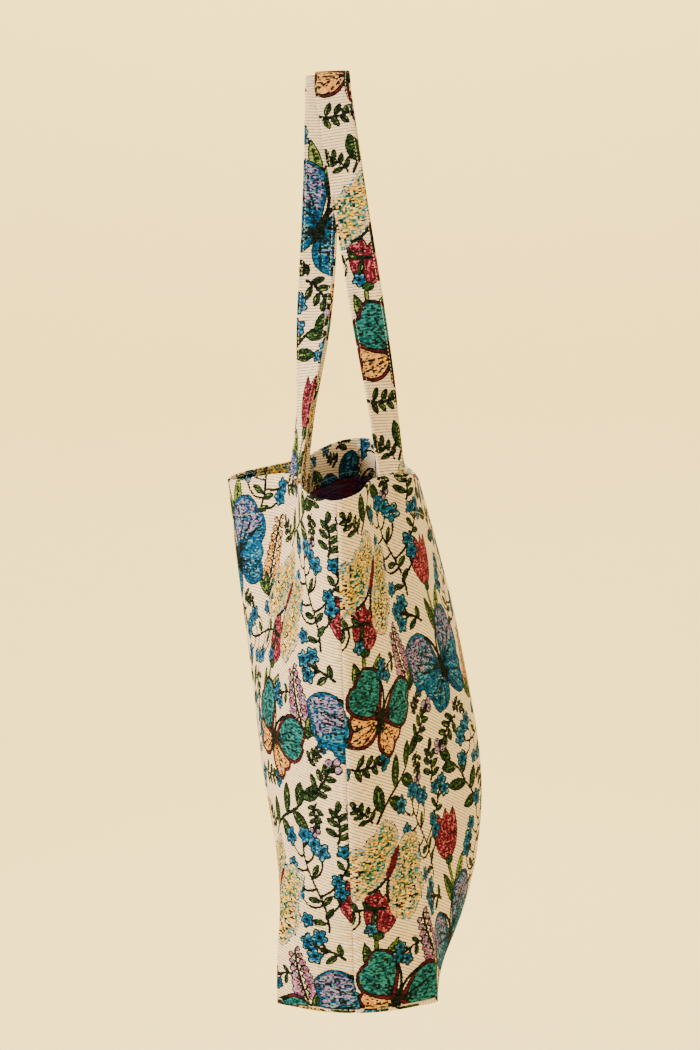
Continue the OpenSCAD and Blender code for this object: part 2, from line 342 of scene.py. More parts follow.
def edge_radius(seam):
    """The lower edge's rounding by distance from a side seam. Only the base's corners are sharp."""
    return np.maximum(TINY, BASE_FILLET * smooth(np.abs(seam - BASE_W / 2) / CORNER_RUN))


def dressed(wall, inside):
    """The wall's outer face with its seams sunk and its lower edge rounded. The seams at the
    base's ends lie a little above the edge."""
    out = wall.copy()
    s = columns * PANEL_W
    seam = np.minimum(s, PANEL_W - s)
    out[..., 0] -= np.sign(out[..., 0]) * groove(seam)
    level, up = fillet(BASE_Z - wall[..., 2], edge_radius(seam))
    at_end = smooth((BASE_W / 2 - seam) / END_GROOVE_RUN)
    level += at_end * groove(wall[..., 2] - wall[END_SEAM_ROW, :, 2])
    out += inside * level[..., None]
    out[..., 2] += up
    out[..., 1] = np.maximum(out[..., 1], SEAM_SPLIT)
    return out


def base_points(low, lift):
    """The base's rows of points, from the wall's lower edge to the seam between the panels."""
    side = (len(low) - 1) * SIDE_COLUMNS // LAST
    middle = low[side:-side]
    y = low[side::-1, 1][:, None]
    x = middle[:, 0] * (low[side::-1, 0] / low[side, 0])[:, None]
    points = np.stack(np.broadcast_arrays(x, y, BASE_Z + lift), -1)
    points[..., 1] += (middle[:, 1] - low[side, 1]) * smooth(y / low[side, 1])
    return points


def rounded_base(low, inside):
    """The base's outer face, with round edges and its seam sunk."""
    side = SIDE_COLUMNS
    points = base_points(low, 0)
    seam = np.minimum(columns, 1 - columns) * PANEL_W
    y = low[side::-1, 1][:, None]
    level, up = fillet(np.maximum(low[side:-side, 1] - y, 0), edge_radius(seam[side:-side]))
    from_end = np.abs(low[side::-1, 0])[:, None] - np.abs(points[..., 0])
    end_radius = edge_radius(seam[side::-1])[:, None]
    turned = np.minimum(1, 1 - math.cos(math.pi / 4) + from_end / end_radius)
    up = np.maximum(up, end_radius * (1 - np.sqrt(1 - (1 - turned) ** 2)))
    points += inside[side:-side] * level[..., None]
    points[..., 2] += up + groove(y)
    points[..., 1] = np.maximum(points[..., 1], SEAM_SPLIT)
    return points


class Panel(Builder):
    """One panel: wall, rolled rim, hem folded to the inside, half of the base and allowances."""

    def __init__(self, k, wall):
        super().__init__()
        self.wall = wall
        self.inside = inward(wall)
        self.outer = dressed(wall, self.inside)
        s = columns * PANEL_W
        self.across = PANEL_W - s if k == FRONT else s
        self.up = rows * BAG_H
        self.add_wall()
        self.add_lining()
        self.add_base()
        near_end = self.add_side_allowance(0)
        far_end = self.add_side_allowance(LAST)
        self.add_base_allowance(near_end, far_end)

    def add_wall(self):
        """The wall, up over the rim and down the inside of the hem, as one run of rows."""
        turn = np.pi * np.arange(1, ROLL_STEPS) / ROLL_STEPS
        roll_in = CLOTH_T * (1 - np.cos(turn))[:, None, None] * self.inside[-1]
        roll_up = CLOTH_T * np.sin(turn)[:, None, None] * np.array([0, 0, 1.0])
        roll = self.outer[-1] + roll_in + roll_up
        hem = (self.outer + 2 * CLOTH_T * self.inside)[WALL_ROWS:][::-1]
        hem_levels = 2 * BAG_H - self.up[WALL_ROWS:][::-1]
        levels = np.concatenate([self.up, np.full(len(turn), BAG_H), hem_levels])
        places = flat_places(self.across, levels)
        self.place_low_ends(places)
        self.run = self.add(np.concatenate([self.outer, roll, hem]), places)
        self.grid(self.run, RIGHT_SIDE)

    def place_low_ends(self, places):
        """Below the seams at the base's ends, the cloth is the base's own."""
        side = SIDE_COLUMNS
        below = self.up[:END_SEAM_ROW] * np.sign(self.across[0] - self.across[-1])
        for i in range(side):
            places[:END_SEAM_ROW, i, 0] = self.across[side] + below
            places[:END_SEAM_ROW, LAST - i, 0] = self.across[LAST - side] - below
            places[:END_SEAM_ROW, (i, LAST - i), 1] = BASE_W / 2 * (i / side - 1)

    def add_lining(self):
        """The reverse of the wall, from the hem's edge down."""
        down = slice(WALL_ROWS, None, -1)
        self.lining = (self.wall + CLOTH_T * self.inside)[down, ::COARSE].copy()
        self.lining[:, (0, -1), 0] = self.wall[down, (0, -1), 0] * (1 - LINING_IN)
        self.lining[:, (0, -1), 1] = CLOTH_T
        self.lining[-1, :, 2] += CLOTH_T
        self.back = self.add(self.lining, flat_places(self.across[::COARSE], self.up[down]))
        self.narrow(self.run[-1], self.back[0], REVERSE)
        self.grid(self.back, REVERSE)

    def add_base(self):
        """The base's outer face, and the floor inside the bag."""
        side = SIDE_COLUMNS
        points = rounded_base(self.outer[0], self.inside[0])
        places = flat_places(self.across[side:-side], np.linspace(0, -BASE_W / 2, side + 1))
        self.base = self.base_ids(points, places, self.run[0])
        self.grid(self.base[::-1], RIGHT_SIDE)
        self.seam = points[-1, ::COARSE]
        self.seam_places = places[-1, ::COARSE]
        points = base_points(self.lining[-1], CLOTH_T)
        self.floor = self.base_ids(points, places[::COARSE, ::COARSE], self.back[-1])
        self.grid(self.floor, REVERSE)

    def base_ids(self, points, places, edge):
        """Adds a base's points, apart from its three sides that are the wall's lower edge."""
        side = len(points) - 1
        ids = np.empty(points.shape[:2], int)
        ids[1:, 1:-1] = self.add(points[1:, 1:-1], places[1:, 1:-1])
        ids[0] = edge[side:-side]
        ids[:, 0] = edge[side::-1]
        ids[:, -1] = edge[-1 - side :]
        return ids

    def add_side_allowance(self, i):
        """The allowance inwards from the side seam at column i. Its lowest points are returned."""
        edge = self.outer[:, i].copy()
        in_hem = np.arange(len(rows)) >= WALL_ROWS
        edge[:, 0] -= np.sign(edge[:, 0]) * np.where(in_hem, HEM_ALLOW, SEAM_ALLOW)
        edge[:, 2] += ALLOW_STANDS * np.maximum(0, SEAM_ALLOW - (edge[:, 2] - BASE_Z))
        edge[:, 1] = SEAM_SPLIT
        places = flat_places(self.across[i : i + 1], self.up)[:, 0]
        near = self.add(edge, places)
        deep = self.add(edge + np.array([0, CLOTH_T, 0]), places)
        flip = i == LAST
        lining_edge = self.back[::-1, -1 if flip else 0]
        hem_edge = self.run[len(rows) + ROLL_STEPS - 1 :, i][::-1]
        below_hem = (slice(0, WALL_ROWS + 1), lining_edge, REVERSE)
        at_hem = (slice(WALL_ROWS, len(rows)), hem_edge, RIGHT_SIDE)
        for part, inner_edge, look in (below_hem, at_hem):
            strips = (self.run[part, i], near[part], deep[part], inner_edge)
            for first, second in zip(strips, strips[1:]):
                self.grid(np.stack([first, second]), look, flip)
        step = [lining_edge[-1], hem_edge[0], deep[WALL_ROWS]]
        self.face(step if flip else step[::-1], REVERSE)
        cap = [*self.run[len(rows) - 1 : len(rows) + ROLL_STEPS, i], deep[-1], near[-1]]
        self.face(cap[::-1] if flip else cap, RIGHT_SIDE)
        return near[0], deep[0]

    def add_base_allowance(self, near_end, far_end):
        """The allowance that stands up from the base's seam, between the side seams' allowances."""
        ridge = self.seam.copy()
        ridge[:, 0] *= 1 - SEAM_ALLOW / np.abs(ridge[0, 0])
        ridge[:, 1] = SEAM_SPLIT
        ridge[:, 2] = BASE_Z + ALLOW_STANDS * SEAM_ALLOW
        thick = ridge + np.array([0, CLOTH_T, 0])
        near = self.add(ridge[1:-1], self.seam_places[1:-1])
        deep = self.add(thick[1:-1], self.seam_places[1:-1])
        near = np.array([near_end[0], *near, far_end[0]])
        deep = np.array([near_end[1], *deep, far_end[1]])
        self.narrow(self.base[-1], near, REVERSE, True)
        self.grid(np.stack([deep, near]), REVERSE)
        self.grid(np.stack([self.floor[-1], deep]), REVERSE)


# The straps, in mm. A leg turns and flattens by shares of its length.
LEG_PITCH = 1.6
STRAP_COLUMNS = 20
STRAP_MIDDLE = STRAP_COLUMNS // 2
STRAP_ACROSS = np.linspace(-0.5, 0.5, STRAP_COLUMNS + 1) * STRAP_W
ACROSS_BAG = np.array([0, 1.0, 0])
EDGE_STEPS = 3
STITCH_IN = 2.6
STITCH_SUNK = 0.3
STITCH_SUNK_W = 0.8
FLAT_BY = 0.25
TURN_FROM = 0.06
TURN_BY = 0.6
ARCH_Z = -GRIP_R


def sample(grid, u, h):
    """A wall's grid of points or vectors, read between its rows and columns."""
    i = np.clip(np.interp(u, columns, np.arange(LAST + 1)), 0, LAST - TINY)
    j = np.clip(np.interp(h, rows, np.arange(len(rows))), 0, len(rows) - 1 - TINY)
    a, c = np.floor(i).astype(int), np.floor(j).astype(int)
    p, q = (i - a)[..., None], (j - c)[..., None]
    return mix(mix(grid[c, a], grid[c, a + 1], p), mix(grid[c + 1, a], grid[c + 1, a + 1], p), q)


def strap_end(wall, far):
    """A strap's end inside the hem, up to the rim: its points and the vectors to its outer face."""
    u = STRAP_U + STRAP_ACROSS / PANEL_W
    down = np.append(np.arange(STRAP_TAIL, CLOTH_T, -LEG_PITCH), CLOTH_T)
    u, h = np.meshgrid(1 - u if far else u, 1 - down / BAG_H)
    turned = sample(inward(wall), u, h)
    deep = 2 * CLOTH_T + LAY_GAP + STRAP_T / 2
    return sample(wall, u, h) + deep * turned, -turned


def strap_leg(root_line, root_out, tip, sign, bow):
    """A strap's leg from the rim to the tip, where its loop starts, and its outward vectors."""
    root = root_line[STRAP_MIDDLE]
    rise = tip - root
    along = sign * rise / np.linalg.norm(rise)
    count = int(np.linalg.norm(rise) / LEG_PITCH)
    lines, outs = [], []
    for share in np.arange(1, count) / count:
        turn = smooth((share - TURN_FROM) / (TURN_BY - TURN_FROM))
        side = mix(unit(root_line[-1] - root_line[0]), ACROSS_BAG, turn)
        w = unit(side - (side @ along) * along)
        moved = rise * share - ACROSS_BAG * bow * math.sin(math.pi * share)
        flat = root + moved + np.outer(STRAP_ACROSS, w)
        flatten = smooth(share / FLAT_BY)
        lines.append(mix(root_line + moved, flat, flatten))
        outs.append(unit(mix(root_out, np.cross(w, along), flatten)))
    return lines, outs


def loop_out(angle):
    """The way out from a loop's centre, at an angle from the top."""
    return np.array([math.sin(angle), 0, math.cos(angle)])


def strap_line(k, wall):
    """The middle of a strap's thickness from end to end, by ring and place across the strap,
    and the unit vectors to its outer face there."""
    radius = GRIP_R + STRAP_T / 2 + (STRAP_T + LAY_GAP if k == BACK else 0)
    centre = np.array([0, GRIP_Y[k], ARCH_Z])
    halves = []
    for sign in (1, -1):
        tail, tail_outs = strap_end(wall, far=sign < 0)
        root = tail[-1, STRAP_MIDDLE]
        lean = math.atan2(abs(root[0]) - radius, ARCH_Z - root[2])
        angle = sign * (math.pi / 2 - lean)
        tip = centre + radius * loop_out(angle)
        leg, leg_outs = strap_leg(tail[-1], tail_outs[-1], tip, sign, LEG_BOW[k])
        halves.append(([*tail, *leg], [*tail_outs, *leg_outs], angle))
    (lines, outs, start), (far_lines, far_outs, end) = halves
    for angle in np.linspace(start, end, int(radius * math.pi / LEG_PITCH)):
        out = loop_out(angle)
        lines.append(centre + radius * out + np.outer(STRAP_ACROSS, ACROSS_BAG))
        outs.append(np.broadcast_to(out, (len(STRAP_ACROSS), 3)))
    return np.array(lines + far_lines[::-1]), np.array(outs + far_outs[::-1])


def half_thickness(across):
    """Half of a strap's thickness by place across it, with round edges and sunk stitch lines."""
    side = STRAP_W / 2 - np.abs(across)
    edge = np.clip(1 - side / (STRAP_T / 2), 0, 1)
    sunk = STITCH_SUNK * np.exp(-(((side - STITCH_IN) / STITCH_SUNK_W) ** 2))
    return STRAP_T / 2 * np.sqrt(1 - edge**2) - sunk


def across_strap(grid, across):
    """A strap's points or vectors, read between its columns at places in mm from its middle."""
    at = across / STRAP_W * STRAP_COLUMNS + STRAP_COLUMNS / 2
    a = np.clip(np.floor(at).astype(int), 0, STRAP_COLUMNS - 1)
    return mix(grid[:, a], grid[:, a + 1], (at - a)[:, None])


def close_strap(b, ring, count, flip):
    """Closes a strap at an end, where count points of its ring are on the outer face."""
    low = ring[:count]
    high = np.array([ring[0], *ring[count:][::-1], ring[count - 1]])
    for i in range(count - 1):
        corners = list(dict.fromkeys([low[i], low[i + 1], high[i + 1], high[i]]))
        if len(corners) > 2:
            b.face(corners[::-1] if flip else corners, RIGHT_SIDE)


def strap_mesh(lines, outs):
    """A strap with round edges and closed ends."""
    b = Builder()
    bend = np.sin(np.linspace(0, np.pi / 2, EDGE_STEPS + 1)[1:-1])
    flat_half = STRAP_W / 2 - STRAP_T / 2
    edge = np.append(flat_half + STRAP_T / 2 * bend, STRAP_W / 2)
    flat = np.linspace(-flat_half, flat_half, STRAP_COLUMNS - 1)
    across = np.concatenate([-edge[::-1], flat, edge])
    middle = across_strap(lines, across)
    thick = unit(across_strap(outs, across)) * half_thickness(across)[:, None]
    ring = np.concatenate([middle + thick, (middle - thick)[:, -2:0:-1]], axis=1)
    around = np.concatenate([across, 2 * STRAP_W - across[-2:0:-1]]) + STRAP_W / 2
    ids = b.add(ring, flat_places(around, run_length(lines[:, STRAP_MIDDLE])))
    b.tube(ids, RIGHT_SIDE)
    close_strap(b, ids[0], len(across), True)
    close_strap(b, ids[-1], len(across), False)
    return b


# The woven pattern: fields of colour from simple shapes, each with the depth in mm of every
# point inside it. A colour shows where its depth is above 0.
COLOURS = {
    "leaf": ((0.004, 0.015, 0.006), (0.022, 0.060, 0.020)),
    "sage": ((0.055, 0.10, 0.020), (0.18, 0.25, 0.07)),
    "royal": ((0.002, 0.036, 0.12), (0.005, 0.090, 0.22)),
    "sky": ((0.014, 0.12, 0.22), (0.09, 0.25, 0.38)),
    "lilac": ((0.13, 0.085, 0.21), (0.32, 0.22, 0.38)),
    "peach": ((0.46, 0.19, 0.05), (0.66, 0.36, 0.13)),
    "yellow": ((0.48, 0.25, 0.016), (0.68, 0.42, 0.060)),
    "rose": ((0.13, 0.006, 0.026), (0.40, 0.075, 0.11)),
    "wine": ((0.040, 0.003, 0.009), (0.085, 0.007, 0.016)),
    "teal": ((0.004, 0.060, 0.075), (0.020, 0.16, 0.18)),
    "ink": ((0.002, 0.004, 0.003), (0.008, 0.012, 0.009)),
}
NAMES = list(COLOURS)
FAR_OUT = -20.0
LINE = 0.55
STEM = 1.1
PETALS = 5
SPRAY_BLOSSOMS = 10


class Pattern:
    """The colour fields over a set of places on the flat cloth."""

    def __init__(self, places):
        self.x, self.y = places[:, 0], places[:, 1]
        self.depth = np.full((len(NAMES), len(places)), FAR_OUT)
        self.line = np.full(len(places), LINE)


class Brush:
    """Draws on the points near one spot, in axes that are turned and scaled there."""

    def __init__(self, pattern, points, x, y, scale=1.0):
        self.pattern, self.points = pattern, points
        self.x, self.y, self.scale = x, y, scale

    def at(self, x, y, degrees=0.0, scale=1.0):
        a = math.radians(degrees)
        dx, dy = self.x - x, self.y - y
        turned_x = (dx * math.cos(a) + dy * math.sin(a)) / scale
        turned_y = (dy * math.cos(a) - dx * math.sin(a)) / scale
        return Brush(self.pattern, self.points, turned_x, turned_y, self.scale * scale)

    def mirrored(self):
        return Brush(self.pattern, self.points, -self.x, self.y, self.scale)

    def oval(self, width, height):
        k = np.hypot(self.x / width, self.y / height)
        slope = np.hypot(self.x / width**2, self.y / height**2) + 1e-9
        return k * (1 - k) / slope

    def leaf(self, length, half, fullest=1.0):
        """A leaf from the spot out along x, fuller towards its tip where fullest is above 1."""
        x = length * np.clip(self.x / length, 0, 1) ** fullest
        x = np.where((self.x < 0) | (self.x > length), self.x, x)
        r = (length**2 / 4 + half**2) / 2 / half
        return r - np.hypot(x - length / 2, np.abs(self.y) + r - half)

    def stem(self, points, half=STEM):
        best = np.inf
        for (ax, ay), (bx, by) in zip(points, points[1:]):
            wx, wy = bx - ax, by - ay
            t = np.clip(((self.x - ax) * wx + (self.y - ay) * wy) / (wx**2 + wy**2), 0, 1)
            best = np.minimum(best, np.hypot(self.x - ax - t * wx, self.y - ay - t * wy))
        return half - best

    def hatch(self, pitch, half, degrees=0.0):
        """Lines a pitch apart, at an angle."""
        a = math.radians(degrees)
        across = self.y * math.cos(a) - self.x * math.sin(a)
        return half - np.abs((across + pitch / 2) % pitch - pitch / 2)

    def paint(self, colour, depth, most=9.0, over=False, line=None):
        """Puts a colour down, on a part of its threads only where most is near or below 0.
        Over leaves the colours under it as they are."""
        depth = np.maximum(depth * self.scale, FAR_OUT)
        fields = self.pattern.depth[:, self.points]
        n = NAMES.index(colour)
        own = np.maximum(fields[n], np.minimum(depth, most))
        if not over:
            fields = np.minimum(fields, np.maximum(-depth, FAR_OUT))
        fields[n] = own
        self.pattern.depth[:, self.points] = fields
        if line is not None:
            self.pattern.line[self.points[depth > -1.5]] = line


def curve(points, n=6):
    """A smooth run of points along the given ones."""
    p = np.array(points, float)
    t = np.linspace(0, 1, len(p))
    fine = np.linspace(0, 1, n * (len(p) - 1) + 1)
    power = min(3, len(p) - 1)
    return list(zip(*[np.polyval(np.polyfit(t, p[:, i], power), fine) for i in (0, 1)]))


# Motifs, in mm about their spots
def blade(b, length, half, dark="leaf", pale="sage"):
    """A leaf, paler on one side of its rib."""
    d = b.leaf(length, half)
    b.paint(dark, d)
    b.paint(pale, np.minimum(d - 0.5, b.y - 0.3), most=0.1, over=True)
    b.paint("ink", np.minimum(d, b.stem([(0, 0), (length * 0.8, 0)], 0.8)), most=0.3, over=True)


def blossom(b, reach):
    """Petals round a dark middle."""
    for n in range(PETALS):
        p = b.at(0, 0, 360 * n / PETALS + 18)
        d = p.at(reach * 0.58, 0).oval(reach * 0.48, reach * 0.36)
        p.paint("royal", d)
        p.paint("sky", np.minimum(d - 0.4, p.x - reach * 0.5), most=0.0, over=True)
    b.paint("ink", b.oval(0.3 * reach, 0.3 * reach), most=0.3, over=True)


def spray(b):
    """A branching stem with a small blossom at each tip."""
    main = curve([(-6, -48), (0, -16), (-3, 12), (4, 38)], 8)
    for n in range(SPRAY_BLOSSOMS):
        share = n / (SPRAY_BLOSSOMS - 1)
        x, y = main[round(share * (len(main) - 6)) + 2]
        out = (1 if n % 2 else -1) * (6 + 16 * math.sin(math.pi * (0.3 + 0.62 * share)))
        spot = (x + out, y + 8 + 5 * (n % 3))
        b.paint("ink", b.stem(curve([(x, y), (x + 0.6 * out, y + 2), spot], 3)))
        blossom(b.at(*spot, 31 * n), 6.6 + 0.9 * (n % 3))
    b.paint("ink", b.stem(main, 1.2))
    for x, y, turn in ((-4, -36, 30), (-5, -40, 150), (-1, -24, 24), (-1, -20, 156), (0, 2, 40)):
        blade(b.at(x, y, turn), 13, 2.5)
    blossom(b.at(*main[-1], 10), 7.5)


def posy(b):
    """Three blossoms on a short stem."""
    b.paint("ink", b.stem(curve([(0, -15), (1, -5), (0, 4)])))
    for n, (x, y) in enumerate(((-7, 5), (7, 7), (0, 13))):
        b.paint("ink", b.stem([(0, -2), (x, y)]))
        blossom(b.at(x, y, 40 * n), 6.0)
    for y, turn in ((-12, 30), (-9, 152)):
        blade(b.at(0, y, turn), 10, 2.1)


def wings(b):
    """The shapes of a fore wing and a hind wing on the right of a body."""
    fore = np.maximum(b.at(0, 0, 46).leaf(41, 12, 1.7), b.at(0, 0, 24).leaf(36, 12, 1.5))
    hind = np.maximum(b.at(0, 2, -52).leaf(31, 9.5, 1.3), b.at(0, 2, -22).leaf(27, 10, 1.4))
    return fore, hind


def feelers(b):
    for w in (b, b.mirrored()):
        w.paint("ink", w.stem(curve([(0.6, 9), (3, 17), (8, 24)])))


def butterfly(b, fore_colour, hind_colour, rim, inner):
    for w in (b, b.mirrored()):
        for shape, colour in zip(wings(w)[::-1], (hind_colour, fore_colour)):
            w.paint(rim or colour, shape)
            w.paint(colour, shape - 2.2)
            w.paint(inner, shape - 3.2, most=-0.05, over=True)
        for turn in (18, 32, 46, -32, -48, -64):
            vein = w.at(0, 0, turn).stem([(3, 0), (28, 0)], 0.9)
            w.paint("ink", np.minimum(vein, np.maximum(*wings(w)) - 1), most=0.15, over=True)
    feelers(b)
    b.paint("ink", b.oval(2.4, 11))


def blue_butterfly(b):
    butterfly(b, "royal", "royal", None, "sky")
    for w in (b, b.mirrored()):
        w.paint("lilac", np.minimum(wings(w)[0] - 2, w.y - 8), most=0.0, over=True)


def teal_butterfly(b):
    butterfly(b, "teal", "peach", "wine", "sky")


def speckled_butterfly(b):
    """Pale wings of single threads, with no outlines."""
    for w in (b, b.mirrored()):
        both = np.maximum(*wings(w))
        w.paint("yellow", both, most=0.12, line=0.0)
        w.paint("sky", np.minimum(both + 1, 5 - both), most=0.3, over=True)
        w.paint("teal", both - 2.0, most=-0.15, over=True)
        w.paint("sage", np.minimum(both - 2, 24 - np.hypot(w.x, w.y)), most=0.2, over=True)
    feelers(b)
    b.paint("wine", b.oval(2.8, 12))


def cup_flower(b):
    """A cupped blossom on a stem with long leaves."""
    b.paint("sage", b.stem(curve([(3, -44), (2, -26), (-1, -10), (0, 2)]), 1.4))
    blade(b.at(2, -38, 66), 36, 4.4, "sage", "leaf")
    blade(b.at(2, -40, 112), 32, 4.2)
    for x, turn, half in ((-5, 108, 6.4), (5, 72, 6.4), (-2, 98, 6.6), (2, 84, 6.8)):
        p = b.at(x * 0.4, -3, turn)
        d = p.leaf(36, half, 0.8)
        p.paint("rose", d)
        p.paint("wine", np.minimum(d - 0.6, p.hatch(3.6, 1.0)), most=0.35, over=True)
    b.paint("leaf", b.at(0, -4).oval(4.4, 3.2))


def bell_spike(b, flower, spot, height=66):
    """A tall stem with bells that get smaller upwards."""
    b.paint("ink", b.stem(curve([(2, -height / 2), (-1, 0), (1, height / 2)]), 1.3))
    levels = 8
    for n in range(levels):
        share = n / (levels - 1)
        size = 1 - 0.55 * share
        y = -height / 2 + 16 + share * (height - 18)
        for way in (1, -1):
            p = b.at(way * 1.2, y + way * 2, 90 - way * (108 - 30 * share))
            d = p.leaf(13.5 * size, 4.6 * size, 1.25)
            p.paint(flower, d)
            p.paint(spot, d - 0.7, most=-0.2, over=True)
    for turn in (36, 148, 62, 120):
        blade(b.at(2, -height / 2 + 1, turn), 22, 3.6)


def orange_spike(b):
    bell_spike(b, "peach", "ink")


def lilac_spike(b):
    bell_spike(b, "lilac", "rose", 58)


def branch(b):
    """A bough of broad dark leaves."""
    main = curve([(-32, -14), (-10, -2), (12, 2), (32, 12)])
    b.paint("ink", b.stem(main, 1.4))
    leaves = ((80, 24), (-52, 25), (64, 28), (-44, 24), (58, 22), (16, 22))
    for n, (turn, long) in enumerate(leaves):
        x, y = main[2 + 3 * n]
        leaf = b.at(x, y, turn)
        d = leaf.leaf(long, 5.6)
        rib = leaf.stem([(2, 0), (long * 0.75, 0)], 0.9)
        leaf.paint("leaf", d)
        leaf.paint("ink", np.minimum(d, leaf.hatch(3.4, 0.9, 55)), most=0.2, over=True)
        leaf.paint("sage", np.minimum(d - 1, rib), most=0.3, over=True)


def sprig(b, tip=None):
    """A small twig, with buds at its tip where it has any."""
    b.paint("ink", b.stem(curve([(0, -13), (2, -3), (-1, 11)]), 1.1))
    for y, turn in ((-10, 24), (-8, 154), (-4, 32), (-1, 148), (3, 40), (5, 140), (9, 84)):
        blade(b.at(0.5, y, turn), 9.5 - 0.15 * y, 2.1)
    for x, y in ((-4, 14), (4, 15), (0, 19)) if tip else ():
        b.paint("ink", b.stem([(0, 9), (x, y)], 0.9))
        b.paint(tip, b.at(x, y).oval(2.6, 3.0))


def lilac_sprig(b):
    sprig(b, "lilac")


def blue_sprig(b):
    sprig(b, "royal")


# The repeat, in mm: each motif's spot, turn and scale. Each repeat across lies half a repeat lower
# than the one before it.
REPEAT_W = 200.0
REPEAT_H = 236.0
LAYOUT = (
    (branch, 146, 74, 20, 1.0),
    (branch, 50, 172, 118, 0.9),
    (cup_flower, 22, 112, 10, 1.2),
    (cup_flower, 118, 196, -10, 1.1),
    (orange_spike, 84, 38, -8, 1.0),
    (lilac_spike, 168, 172, 16, 1.0),
    (spray, 74, 110, -16, 1.0),
    (spray, 180, 28, 24, 0.95),
    (spray, 80, 212, 100, 0.9),
    (blue_butterfly, 32, 38, 24, 1.4),
    (teal_butterfly, 130, 134, -24, 1.2),
    (speckled_butterfly, 134, 14, 150, 1.25),
    (lilac_sprig, 190, 112, -40, 1.2),
)
MOTIF_REACH = 56.0
# Small motifs for the gaps: their spots lie a step apart, and a gap has room in mm on all sides.
FILLERS = (sprig, posy, lilac_sprig, sprig, blue_sprig, posy)
MOST_FILLERS = 60
FILL_STEP = 3.0
FILL_GAP = 9.0
FILL_TURN = 67.0
FULL_SIZE_ROOM = 13.0
LARGEST_FILLER = 1.2


def draw(pattern, placed):
    """Draws the placed motifs wherever their repeats fall."""
    for motif, x, y, turn, scale in placed:
        n = np.round((pattern.x - x) / REPEAT_W)
        dx = pattern.x - x - n * REPEAT_W
        dy = pattern.y - y - n * REPEAT_H / 2
        dy = dy - np.round(dy / REPEAT_H) * REPEAT_H
        near = np.flatnonzero(np.hypot(dx, dy) < MOTIF_REACH * scale)
        motif(Brush(pattern, near, dx[near], dy[near]).at(0, 0, turn, scale))


def fill_gaps():
    """Small motifs for the gaps between the motifs of one repeat, the widest gap first."""
    steps = [np.arange(0, size, FILL_STEP) for size in (REPEAT_W, REPEAT_H)]
    pattern = Pattern(flat_places(*steps).reshape(-1, 2))
    draw(pattern, LAYOUT)
    added = []
    while len(added) < MOST_FILLERS:
        depth = pattern.depth.max(0)
        spot = int(np.argmin(depth))
        room = -depth[spot]
        if room < FILL_GAP:
            break
        n = len(added)
        scale = min(LARGEST_FILLER, room / FULL_SIZE_ROOM)
        motif = FILLERS[n % len(FILLERS)]
        added.append((motif, pattern.x[spot], pattern.y[spot], FILL_TURN * n, scale))
        draw(pattern, added[-1:])
    return added


def store(mesh, builder, shift, motifs):
    """Keeps the flat places and the pattern, with its repeat shifted by some mm, on a mesh."""
    places = np.concatenate(builder.places)
    pattern = Pattern(places + np.array(shift))
    draw(pattern, motifs)
    flat = mesh.attributes.new("fabric", "FLOAT_VECTOR", "POINT")
    flat.data.foreach_set("vector", np.pad(places, ((0, 0), (0, 1))).ravel().astype(np.float32))
    for name, values in [*zip(NAMES, pattern.depth), ("line", pattern.line)]:
        field = mesh.attributes.new(name, "FLOAT", "POINT")
        field.data.foreach_set("value", values.astype(np.float32))


# Materials
class Graph:
    """Short calls for a material's nodes."""

    def __init__(self, name):
        self.material = bpy.data.materials.new(name)
        self.material.use_nodes = True
        self.tree = self.material.node_tree
        self.shader = self.tree.nodes["Principled BSDF"]

    def link(self, value, socket):
        if isinstance(value, bpy.types.NodeSocket):
            self.tree.links.new(value, socket)
        elif isinstance(value, tuple) and len(value) == 3 and len(socket.default_value) == 4:
            socket.default_value = (*value, 1.0)
        else:
            socket.default_value = value

    def node(self, kind, settings=(), **inputs):
        node = self.tree.nodes.new(kind)
        for key, value in dict(settings).items():
            setattr(node, key, value)
        for key, value in inputs.items():
            self.link(value, node.inputs[key.replace("_", " ")])
        return node

    def math(self, operation, *values):
        node = self.node("ShaderNodeMath", {"operation": operation})
        for value, socket in zip(values, node.inputs):
            self.link(value, socket)
        return node.outputs[0]

    def vector(self, operation, *values):
        node = self.node("ShaderNodeVectorMath", {"operation": operation})
        for value, socket in zip(values, node.inputs):
            self.link(value, socket)
        return node.outputs[0]

    def mix(self, factor, a, b, blend="MIX"):
        node = self.node("ShaderNodeMix", {"data_type": "RGBA", "blend_type": blend})
        self.link(factor, node.inputs[0])
        self.link(a, node.inputs[6])
        self.link(b, node.inputs[7])
        return node.outputs[2]

    def attribute(self, name, output="Fac"):
        return self.node("ShaderNodeAttribute", {"attribute_name": name}).outputs[output]

    def noise(self, vector, scale, detail=2.0):
        node = self.node("ShaderNodeTexNoise", Vector=vector, Scale=scale, Detail=detail)
        return node.outputs["Fac"]

    def cells(self, place, width, height):
        """Three random numbers for each thread cell of that size in mm."""
        snapped = self.vector("SNAP", place, (width, height, 1.0))
        colour = self.node("ShaderNodeTexWhiteNoise", {"noise_dimensions": "3D"}, Vector=snapped)
        parts = self.node("ShaderNodeSeparateColor", Color=colour.outputs["Color"])
        return list(parts.outputs)

    def stripes(self, place, slope, pitch, sway):
        """A wave from 0 to 1 across lines a pitch apart, that fall by slope and sway by some mm."""
        parts = self.node("ShaderNodeSeparateXYZ", Vector=place)
        level = self.math("MULTIPLY_ADD", parts.outputs[0], slope, parts.outputs[1])
        level = self.math("MULTIPLY_ADD", self.noise(place, 0.06), sway, level)
        return self.math("PINGPONG", self.math("DIVIDE", level, pitch / 2), 1.0)

    def bump(self, height, strength, distance):
        node = self.node("ShaderNodeBump", Height=height, Strength=strength, Distance=distance)
        self.link(node.outputs[0], self.shader.inputs["Normal"])

    def between(self, value, low, high):
        node = self.node("ShaderNodeMapRange", Value=value, To_Min=low, To_Max=high)
        return node.outputs[0]


